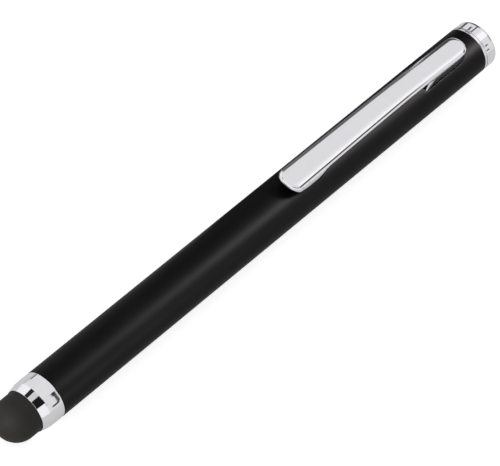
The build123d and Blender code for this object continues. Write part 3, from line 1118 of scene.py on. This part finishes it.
class STYLUS_OT_stage(bpy.types.Operator):
    """Set the floor, the surroundings, the lamps, the cards and the camera"""

    bl_idname = "stylus.set_stage"
    bl_label = "Studio"

    # The camera's right and up directions, and its place
    camera_right = (0.6798, -0.7136, 0.1692)
    camera_up = (0.5558, 0.6518, 0.5161)
    camera_place = (-0.26595, -0.142918, 0.469478)
    camera_range = (0.01, 20)
    sensor_width = 36
    lamp_colour = (1.0, 0.955, 0.975)
    floor_cuts = 3
    # Where, towards the cap, the surroundings that chrome shows turn from their front to their rear strength
    sky_turn = (0.1, 0.3)
    # Soft boxes: name, place, aim, share of the main power, side and the pieces that it lights
    boxes = (
        ("key_box", (0.37, -0.18, 0.36), (0.035, 0, 0.0045), 1.05, 0.13, ("barrel_tube", "rear_plug")),
        ("low_box", (0.02, -0.32, 0.09), (-0.04, 0, 0.0045), 0.1, 0.16, ("barrel_tube",)),
        ("far_box", (0.0, 0.34, 0.1), (-0.05, 0, 0.0045), 0.025, 0.08, ("barrel_tube",)),
        ("front_box", (-0.28, 0.02, 0.115), (-0.055, 0, 0.0045), 0.12, 0.15, ("tip_dome",)),
    )
    # Curved cards: name, start and end along the pen, angles round its axis from +Y up in degrees, and grey
    flags = (
        ("flag_cone_near", -0.12, 0.0, 94, 132, 0.0125),
        ("flag_cone_far", -0.12, 0.0, 50, 68.5, 0.025),
        ("card_cone", -0.12, 0.0, 68.5, 94, 0.74),
        ("flag_hook_upper", 0.1025, 0.1145, 118, 132, 0.02),
        ("flag_hook_rear", 0.1062, 0.1145, 132, 163, 0.04),
        ("flag_hook_lower", 0.0925, 0.1115, 163, 171, 0.06),
        ("flag_hook_far", 0.0985, 0.12, 3, 9, 0.05),
        ("flag_nose_near", 0.0, 0.08, 115, 146, 0.03),
        ("flag_clip_near", 0.135, 0.26, 118, 146, 0.06),
        ("flag_root_near", 0.26, 0.2785, 118, 146, 0.2),
        ("flag_clip_far", 0.17, 0.26, 1, 50, 0.13),
        ("flag_root_far", 0.26, 0.2785, 1, 57, 0.13),
        ("flag_rear_far", 0.2875, 0.7, -8, 57, 0.08),
        ("card_nose", 0.0, 0.17, 55, 113, 0.88),
        ("card_clip_edge", 0.17, 0.42, 76, 84, 0.97),
        ("card_clip", 0.17, 0.42, 84, 113, 1.14),
        ("flag_cap_front", 0.2802, 0.2818, 25, 55, 0.1),
        ("flag_cap_upper", 0.2818, 0.2865, 48, 55, 0.12),
        ("flag_cap_spot", 0.2822, 0.2838, 27, 37, 0.05),
        ("flag_cap_dot", 0.2823, 0.2834, 141, 148, 0.05),
        ("flag_cap_dot_low", 0.2822, 0.2833, 163, 170, 0.08),
        ("flag_cap_near", 0.44, 0.8, 113, 150, 0.04),
    )
    card_steps = 6
    # Dark mats on the floor: name, start and end along the pen, near and far sides across it, and grey
    mats = (
        ("mat_far", 0.0, 0.061, 0.004, 0.3, 0.13),
        ("mat_far_rear", 0.061, 0.4, 0.025, 0.3, 0.13),
        ("mat_behind_far", 0.086, 0.3, 0.0048, 0.0085, 0.06),
        ("mat_behind_near", 0.086, 0.3, -0.0065, 0.001, 0.06),
    )
    mat_height = 0.0004

    def execute(self, context):
        studio = settings()["studio"]
        bpy.context.scene.view_settings.view_transform = "Standard"
        self.lay_floor(studio)
        self.light_sky(studio)
        for name, place, aim, power_share, side, lit in self.boxes:
            self.hang_box(name, place, aim, power_share * studio.key_power, side, lit)
        for name, start, end, low, high, grey in self.flags:
            self.hang_flag(studio, name, start, end, low, high, grey)
        for name, start, end, near, far, grey in self.mats:
            self.lay_mat(name, start, end, near, far, grey)
        self.place_camera(studio)
        return {"FINISHED"}

    def seen(self, nodes):
        """One for rays from the camera or through clear surfaces, and one for those that polish sends out."""
        path = nodes.add("ShaderNodeLightPath", out="Is Camera Ray")
        rays = path.socket.node.outputs
        glossy, through = Value(nodes, rays["Is Glossy Ray"]), Value(nodes, rays["Is Transmission Ray"])
        return nodes.add("ShaderNodeMath", {"operation": "MAXIMUM"}, {0: path, 1: through}), glossy

    def lay_floor(self, studio):
        """A large pale floor under the pen, a little brighter where it is looked at."""
        floor = start_piece("floor", (0, 0, 0), studio.floor_reach)
        select_everything()
        bpy.ops.mesh.subdivide(number_cuts=self.floor_cuts)
        bpy.ops.object.mode_set(mode="OBJECT")
        material, nodes = new_material("pale_floor")
        camera, glossy = self.seen(nodes)
        matt = nodes.add("ShaderNodeBsdfDiffuse", {}, {"Color": opaque(studio.floor_colour)})
        strength = camera * studio.floor_glow + glossy * studio.floor_shine
        glow = nodes.add("ShaderNodeEmission", {}, {"Strength": strength})
        both = nodes.add("ShaderNodeAddShader", {}, {0: matt, 1: glow})
        nodes.add("ShaderNodeOutputMaterial", {}, {"Surface": both})
        floor.data.materials.append(material)

    def light_sky(self, studio):
        """White surroundings: plain fill light on the pen, and white where they are looked at."""
        world = bpy.data.worlds.new("white_room")
        bpy.context.scene.world = world
        nodes = Nodes(world)
        camera, glossy = self.seen(nodes)
        toward = nodes.add("ShaderNodeTexCoord", out="Generated")
        along = nodes.add("ShaderNodeSeparateXYZ", {}, {"Vector": toward}, "X")
        shine = nodes.add("ShaderNodeMapRange", {"interpolation_type": "SMOOTHSTEP"}, {
            "Value": along, "From Min": self.sky_turn[0], "From Max": self.sky_turn[1],
            "To Min": studio.sky_front - studio.sky_fill, "To Max": studio.sky_shine - studio.sky_fill,
        })
        strength = studio.sky_fill + camera * (1 - studio.sky_fill) + glossy * shine
        light = nodes.add("ShaderNodeBackground", {}, {"Color": (1, 1, 1, 1), "Strength": strength})
        nodes.add("ShaderNodeOutputWorld", {}, {"Surface": light})

    def hang_box(self, name, place, aim, power, side, lit):
        """A soft box that lights only the pieces it is meant for."""
        lamp = bpy.data.lights.new(name, "AREA")
        lamp.size, lamp.energy, lamp.color = side, power, self.lamp_colour
        box = bpy.data.objects.new(name, lamp)
        bpy.context.scene.collection.objects.link(box)
        box.location = place
        box.rotation_euler = (Vector(aim) - Vector(place)).to_track_quat("-Z", "Y").to_euler()
        box.visible_camera = False
        receivers = bpy.data.collections.new(f"{name}_receivers")
        for piece in lit:
            receivers.objects.link(bpy.data.objects[piece])
        box.light_linking.receiver_collection = receivers

    def hang_flag(self, studio, name, start, end, low, high, grey):
        """A curved card beside the pen, which only polished surfaces show."""
        axis_height = settings()["barrel"].radius
        flag = start_point(name, (start, 0, axis_height))
        angle = math.radians(low)
        out = Vector((0, math.cos(angle), math.sin(angle))) * studio.flag_distance
        shift(*out)
        bpy.ops.mesh.extrude_vertices_move(TRANSFORM_OT_translate={"value": (end - start, 0, 0)})
        select_everything()
        turned = math.radians(low - high)
        bpy.ops.mesh.spin(steps=self.card_steps, angle=turned, center=(0, 0, axis_height), axis=(1, 0, 0))
        self.tint_card(flag, name, grey)

    def lay_mat(self, name, start, end, near, far, grey):
        """A dark mat on the floor, which only polished surfaces show."""
        middle = ((start + end) / 2, (near + far) / 2, self.mat_height)
        mat = start_piece(name, middle)
        stretch(mat, middle, end - start, far - near)
        self.tint_card(mat, name, grey)

    def tint_card(self, card, name, grey):
        """Finish a card or mat in one plain grey, hidden from all but reflections."""
        bpy.ops.object.mode_set(mode="OBJECT")
        material, nodes = new_material(name)
        glow = nodes.add("ShaderNodeEmission", {}, {"Color": (grey, grey, grey, 1), "Strength": 1.0})
        nodes.add("ShaderNodeOutputMaterial", {}, {"Surface": glow})
        card.data.materials.append(material)
        card.visible_camera = card.visible_diffuse = card.visible_shadow = False
        card.visible_transmission = card.visible_volume_scatter = False

    def place_camera(self, studio):
        """The camera at the photograph's viewing angle."""
        lens = bpy.data.cameras.new("camera")
        lens.lens, lens.sensor_width = studio.lens, self.sensor_width
        lens.clip_start, lens.clip_end = self.camera_range
        camera = bpy.data.objects.new("camera", lens)
        bpy.context.scene.collection.objects.link(camera)
        right, up = Vector(self.camera_right), Vector(self.camera_up)
        turned = Matrix((right, up, right.cross(up))).transposed().to_4x4()
        camera.matrix_world = Matrix.Translation(self.camera_place) @ turned
        bpy.context.scene.camera = camera


class STYLUS_PT_panel(bpy.types.Panel):
    """The steps that build the pen, in order"""

    bl_label = "Stylus pen"
    bl_idname = "STYLUS_PT_panel"
    bl_space_type = "VIEW_3D"
    bl_region_type = "UI"
    bl_category = "Stylus"

    def draw(self, context):
        for step in STEPS:
            self.layout.operator(step.bl_idname)
        for group in settings().values():
            box = self.layout.box()
            for name in group.__annotations__:
                box.prop(group, name)


GROUPS = {
    "stylus_tip": TipSizes,
    "stylus_ferrule": FerruleSizes,
    "stylus_barrel": BarrelSizes,
    "stylus_clip": ClipSizes,
    "stylus_cap": CapSizes,
    "stylus_finish": Finishes,
    "stylus_studio": StudioSettings,
}
STEPS = (
    STYLUS_OT_tip,
    STYLUS_OT_ferrule,
    STYLUS_OT_barrel,
    STYLUS_OT_clip,
    STYLUS_OT_cap,
    STYLUS_OT_inner,
    STYLUS_OT_stage,
)
CLASSES = (*GROUPS.values(), *STEPS, STYLUS_PT_panel)


def register():
    for item in CLASSES:
        bpy.utils.register_class(item)
    for name, group in GROUPS.items():
        setattr(bpy.types.Scene, name, bpy.props.PointerProperty(type=group))


def unregister():
    for name in GROUPS:
        delattr(bpy.types.Scene, name)
    for item in reversed(CLASSES):
        bpy.utils.unregister_class(item)


def main():
    register()
    bpy.ops.stylus.make_tip()
    bpy.ops.stylus.make_ferrule()
    bpy.ops.stylus.make_barrel()
    bpy.ops.stylus.make_clip()
    bpy.ops.stylus.make_cap()
    bpy.ops.stylus.finish_inner()
    bpy.ops.stylus.set_stage()


if __name__ == "__main__":
    main()
